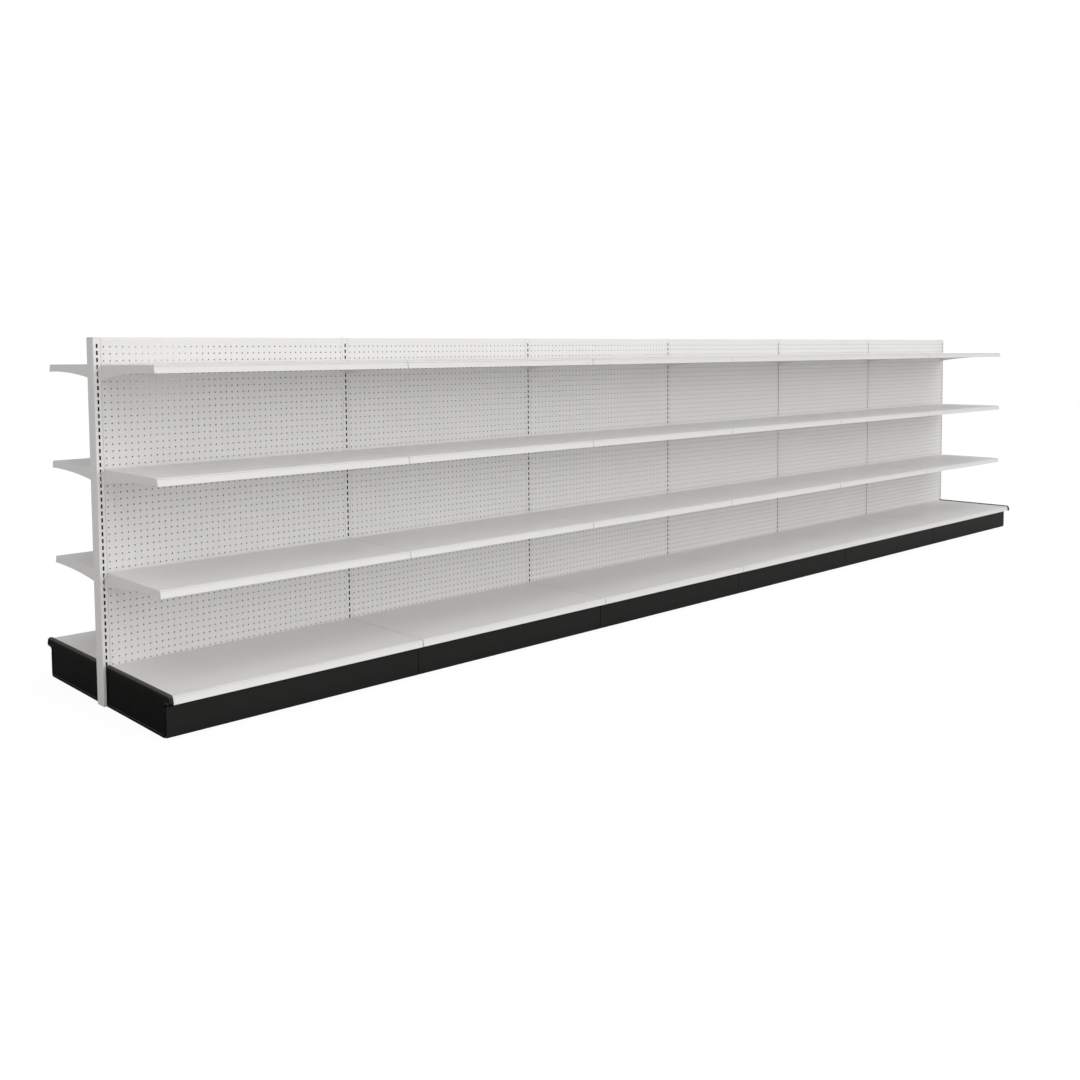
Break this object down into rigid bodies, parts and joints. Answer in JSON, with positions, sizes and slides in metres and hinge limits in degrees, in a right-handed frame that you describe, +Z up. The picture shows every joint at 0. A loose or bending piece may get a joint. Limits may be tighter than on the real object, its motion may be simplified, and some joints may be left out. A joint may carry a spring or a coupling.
{
  "type": "gondola shelving unit",
  "caption": "Double-sided retail gondola run with slotted uprights, perforated back walls, tiltable hook-in shelves, base decks, kickplates and moulded end covers.",
  "frame": {"origin": "on the floor, in the middle of the row", "axes": "+X along the row, -Y towards the front side, +Z up"},
  "size_m": [7.3482, 1.246, 1.543],
  "materials": {
    "white_uprights": "satin white powder coat",
    "white_hardboard": "painted perforated hardboard",
    "white_shelves": "satin white powder coat",
    "white_decks": "satin white powder coat",
    "black_kickplates": "satin black powder coat",
    "black_end_covers": "fine-grained black moulding"
  },
  "bodies": {
    "row_frame": {"upright_1": "white_uprights", "upright_2": "white_uprights", "upright_3": "white_uprights", "upright_4": "white_uprights", "upright_5": "white_uprights", "upright_6": "white_uprights", "upright_7": "white_uprights", "back_wall_1": "white_hardboard", "back_wall_2": "white_hardboard", "back_wall_3": "white_hardboard", "back_wall_4": "white_hardboard", "back_wall_5": "white_hardboard", "back_wall_6": "white_hardboard", "base_deck_front": "white_decks", "base_deck_back": "white_decks", "kickplate_front": "black_kickplates", "kickplate_back": "black_kickplates", "end_cover_left_front": "black_end_covers", "end_cover_left_back": "black_end_covers", "end_cover_right_front": "black_end_covers", "end_cover_right_back": "black_end_covers"},
    "shelf_front_1_1": {"shelf_front_1_1": "white_shelves"},
    "shelf_front_1_2": {"shelf_front_1_2": "white_shelves"},
    "shelf_front_1_3": {"shelf_front_1_3": "white_shelves"},
    "shelf_front_2_1": {"shelf_front_2_1": "white_shelves"},
    "shelf_front_2_2": {"shelf_front_2_2": "white_shelves"},
    "shelf_front_2_3": {"shelf_front_2_3": "white_shelves"},
    "shelf_front_3_1": {"shelf_front_3_1": "white_shelves"},
    "shelf_front_3_2": {"shelf_front_3_2": "white_shelves"},
    "shelf_front_3_3": {"shelf_front_3_3": "white_shelves"},
    "shelf_front_4_1": {"shelf_front_4_1": "white_shelves"},
    "shelf_front_4_2": {"shelf_front_4_2": "white_shelves"},
    "shelf_front_4_3": {"shelf_front_4_3": "white_shelves"},
    "shelf_front_5_1": {"shelf_front_5_1": "white_shelves"},
    "shelf_front_5_2": {"shelf_front_5_2": "white_shelves"},
    "shelf_front_5_3": {"shelf_front_5_3": "white_shelves"},
    "shelf_front_6_1": {"shelf_front_6_1": "white_shelves"},
    "shelf_front_6_2": {"shelf_front_6_2": "white_shelves"},
    "shelf_front_6_3": {"shelf_front_6_3": "white_shelves"},
    "shelf_back_1_1": {"shelf_back_1_1": "white_shelves"},
    "shelf_back_1_2": {"shelf_back_1_2": "white_shelves"},
    "shelf_back_1_3": {"shelf_back_1_3": "white_shelves"},
    "shelf_back_2_1": {"shelf_back_2_1": "white_shelves"},
    "shelf_back_2_2": {"shelf_back_2_2": "white_shelves"},
    "shelf_back_2_3": {"shelf_back_2_3": "white_shelves"},
    "shelf_back_3_1": {"shelf_back_3_1": "white_shelves"},
    "shelf_back_3_2": {"shelf_back_3_2": "white_shelves"},
    "shelf_back_3_3": {"shelf_back_3_3": "white_shelves"},
    "shelf_back_4_1": {"shelf_back_4_1": "white_shelves"},
    "shelf_back_4_2": {"shelf_back_4_2": "white_shelves"},
    "shelf_back_4_3": {"shelf_back_4_3": "white_shelves"},
    "shelf_back_5_1": {"shelf_back_5_1": "white_shelves"},
    "shelf_back_5_2": {"shelf_back_5_2": "white_shelves"},
    "shelf_back_5_3": {"shelf_back_5_3": "white_shelves"},
    "shelf_back_6_1": {"shelf_back_6_1": "white_shelves"},
    "shelf_back_6_2": {"shelf_back_6_2": "white_shelves"},
    "shelf_back_6_3": {"shelf_back_6_3": "white_shelves"}
  },
  "joints": [
    {"name": "shelf_front_1_1_tilt", "type": "hinge", "parent": "row_frame", "child": "shelf_front_1_1", "pos_m": [-3.048, -0.032, 0.54715], "axis": [-1, 0, 0], "range_deg": [0, 20]},
    {"name": "shelf_front_1_2_tilt", "type": "hinge", "parent": "row_frame", "child": "shelf_front_1_2", "pos_m": [-3.048, -0.032, 0.97895], "axis": [-1, 0, 0], "range_deg": [0, 20]},
    {"name": "shelf_front_1_3_tilt", "type": "hinge", "parent": "row_frame", "child": "shelf_front_1_3", "pos_m": [-3.048, -0.032, 1.41075], "axis": [-1, 0, 0], "range_deg": [0, 20]},
    {"name": "shelf_front_2_1_tilt", "type": "hinge", "parent": "row_frame", "child": "shelf_front_2_1", "pos_m": [-1.8288, -0.032, 0.54715], "axis": [-1, 0, 0], "range_deg": [0, 20]},
    {"name": "shelf_front_2_2_tilt", "type": "hinge", "parent": "row_frame", "child": "shelf_front_2_2", "pos_m": [-1.8288, -0.032, 0.97895], "axis": [-1, 0, 0], "range_deg": [0, 20]},
    {"name": "shelf_front_2_3_tilt", "type": "hinge", "parent": "row_frame", "child": "shelf_front_2_3", "pos_m": [-1.8288, -0.032, 1.41075], "axis": [-1, 0, 0], "range_deg": [0, 20]},
    {"name": "shelf_front_3_1_tilt", "type": "hinge", "parent": "row_frame", "child": "shelf_front_3_1", "pos_m": [-0.6096, -0.032, 0.54715], "axis": [-1, 0, 0], "range_deg": [0, 20]},
    {"name": "shelf_front_3_2_tilt", "type": "hinge", "parent": "row_frame", "child": "shelf_front_3_2", "pos_m": [-0.6096, -0.032, 0.97895], "axis": [-1, 0, 0], "range_deg": [0, 20]},
    {"name": "shelf_front_3_3_tilt", "type": "hinge", "parent": "row_frame", "child": "shelf_front_3_3", "pos_m": [-0.6096, -0.032, 1.41075], "axis": [-1, 0, 0], "range_deg": [0, 20]},
    {"name": "shelf_front_4_1_tilt", "type": "hinge", "parent": "row_frame", "child": "shelf_front_4_1", "pos_m": [0.6096, -0.032, 0.54715], "axis": [-1, 0, 0], "range_deg": [0, 20]},
    {"name": "shelf_front_4_2_tilt", "type": "hinge", "parent": "row_frame", "child": "shelf_front_4_2", "pos_m": [0.6096, -0.032, 0.97895], "axis": [-1, 0, 0], "range_deg": [0, 20]},
    {"name": "shelf_front_4_3_tilt", "type": "hinge", "parent": "row_frame", "child": "shelf_front_4_3", "pos_m": [0.6096, -0.032, 1.41075], "axis": [-1, 0, 0], "range_deg": [0, 20]},
    {"name": "shelf_front_5_1_tilt", "type": "hinge", "parent": "row_frame", "child": "shelf_front_5_1", "pos_m": [1.8288, -0.032, 0.54715], "axis": [-1, 0, 0], "range_deg": [0, 20]},
    {"name": "shelf_front_5_2_tilt", "type": "hinge", "parent": "row_frame", "child": "shelf_front_5_2", "pos_m": [1.8288, -0.032, 0.97895], "axis": [-1, 0, 0], "range_deg": [0, 20]},
    {"name": "shelf_front_5_3_tilt", "type": "hinge", "parent": "row_frame", "child": "shelf_front_5_3", "pos_m": [1.8288, -0.032, 1.41075], "axis": [-1, 0, 0], "range_deg": [0, 20]},
    {"name": "shelf_front_6_1_tilt", "type": "hinge", "parent": "row_frame", "child": "shelf_front_6_1", "pos_m": [3.048, -0.032, 0.54715], "axis": [-1, 0, 0], "range_deg": [0, 20]},
    {"name": "shelf_front_6_2_tilt", "type": "hinge", "parent": "row_frame", "child": "shelf_front_6_2", "pos_m": [3.048, -0.032, 0.97895], "axis": [-1, 0, 0], "range_deg": [0, 20]},
    {"name": "shelf_front_6_3_tilt", "type": "hinge", "parent": "row_frame", "child": "shelf_front_6_3", "pos_m": [3.048, -0.032, 1.41075], "axis": [-1, 0, 0], "range_deg": [0, 20]},
    {"name": "shelf_back_1_1_tilt", "type": "hinge", "parent": "row_frame", "child": "shelf_back_1_1", "pos_m": [-3.048, 0.032, 0.54715], "axis": [1, 0, 0], "range_deg": [0, 20]},
    {"name": "shelf_back_1_2_tilt", "type": "hinge", "parent": "row_frame", "child": "shelf_back_1_2", "pos_m": [-3.048, 0.032, 0.97895], "axis": [1, 0, 0], "range_deg": [0, 20]},
    {"name": "shelf_back_1_3_tilt", "type": "hinge", "parent": "row_frame", "child": "shelf_back_1_3", "pos_m": [-3.048, 0.032, 1.41075], "axis": [1, 0, 0], "range_deg": [0, 20]},
    {"name": "shelf_back_2_1_tilt", "type": "hinge", "parent": "row_frame", "child": "shelf_back_2_1", "pos_m": [-1.8288, 0.032, 0.54715], "axis": [1, 0, 0], "range_deg": [0, 20]},
    {"name": "shelf_back_2_2_tilt", "type": "hinge", "parent": "row_frame", "child": "shelf_back_2_2", "pos_m": [-1.8288, 0.032, 0.97895], "axis": [1, 0, 0], "range_deg": [0, 20]},
    {"name": "shelf_back_2_3_tilt", "type": "hinge", "parent": "row_frame", "child": "shelf_back_2_3", "pos_m": [-1.8288, 0.032, 1.41075], "axis": [1, 0, 0], "range_deg": [0, 20]},
    {"name": "shelf_back_3_1_tilt", "type": "hinge", "parent": "row_frame", "child": "shelf_back_3_1", "pos_m": [-0.6096, 0.032, 0.54715], "axis": [1, 0, 0], "range_deg": [0, 20]},
    {"name": "shelf_back_3_2_tilt", "type": "hinge", "parent": "row_frame", "child": "shelf_back_3_2", "pos_m": [-0.6096, 0.032, 0.97895], "axis": [1, 0, 0], "range_deg": [0, 20]},
    {"name": "shelf_back_3_3_tilt", "type": "hinge", "parent": "row_frame", "child": "shelf_back_3_3", "pos_m": [-0.6096, 0.032, 1.41075], "axis": [1, 0, 0], "range_deg": [0, 20]},
    {"name": "shelf_back_4_1_tilt", "type": "hinge", "parent": "row_frame", "child": "shelf_back_4_1", "pos_m": [0.6096, 0.032, 0.54715], "axis": [1, 0, 0], "range_deg": [0, 20]},
    {"name": "shelf_back_4_2_tilt", "type": "hinge", "parent": "row_frame", "child": "shelf_back_4_2", "pos_m": [0.6096, 0.032, 0.97895], "axis": [1, 0, 0], "range_deg": [0, 20]},
    {"name": "shelf_back_4_3_tilt", "type": "hinge", "parent": "row_frame", "child": "shelf_back_4_3", "pos_m": [0.6096, 0.032, 1.41075], "axis": [1, 0, 0], "range_deg": [0, 20]},
    {"name": "shelf_back_5_1_tilt", "type": "hinge", "parent": "row_frame", "child": "shelf_back_5_1", "pos_m": [1.8288, 0.032, 0.54715], "axis": [1, 0, 0], "range_deg": [0, 20]},
    {"name": "shelf_back_5_2_tilt", "type": "hinge", "parent": "row_frame", "child": "shelf_back_5_2", "pos_m": [1.8288, 0.032, 0.97895], "axis": [1, 0, 0], "range_deg": [0, 20]},
    {"name": "shelf_back_5_3_tilt", "type": "hinge", "parent": "row_frame", "child": "shelf_back_5_3", "pos_m": [1.8288, 0.032, 1.41075], "axis": [1, 0, 0], "range_deg": [0, 20]},
    {"name": "shelf_back_6_1_tilt", "type": "hinge", "parent": "row_frame", "child": "shelf_back_6_1", "pos_m": [3.048, 0.032, 0.54715], "axis": [1, 0, 0], "range_deg": [0, 20]},
    {"name": "shelf_back_6_2_tilt", "type": "hinge", "parent": "row_frame", "child": "shelf_back_6_2", "pos_m": [3.048, 0.032, 0.97895], "axis": [1, 0, 0], "range_deg": [0, 20]},
    {"name": "shelf_back_6_3_tilt", "type": "hinge", "parent": "row_frame", "child": "shelf_back_6_3", "pos_m": [3.048, 0.032, 1.41075], "axis": [1, 0, 0], "range_deg": [0, 20]}
  ]
}
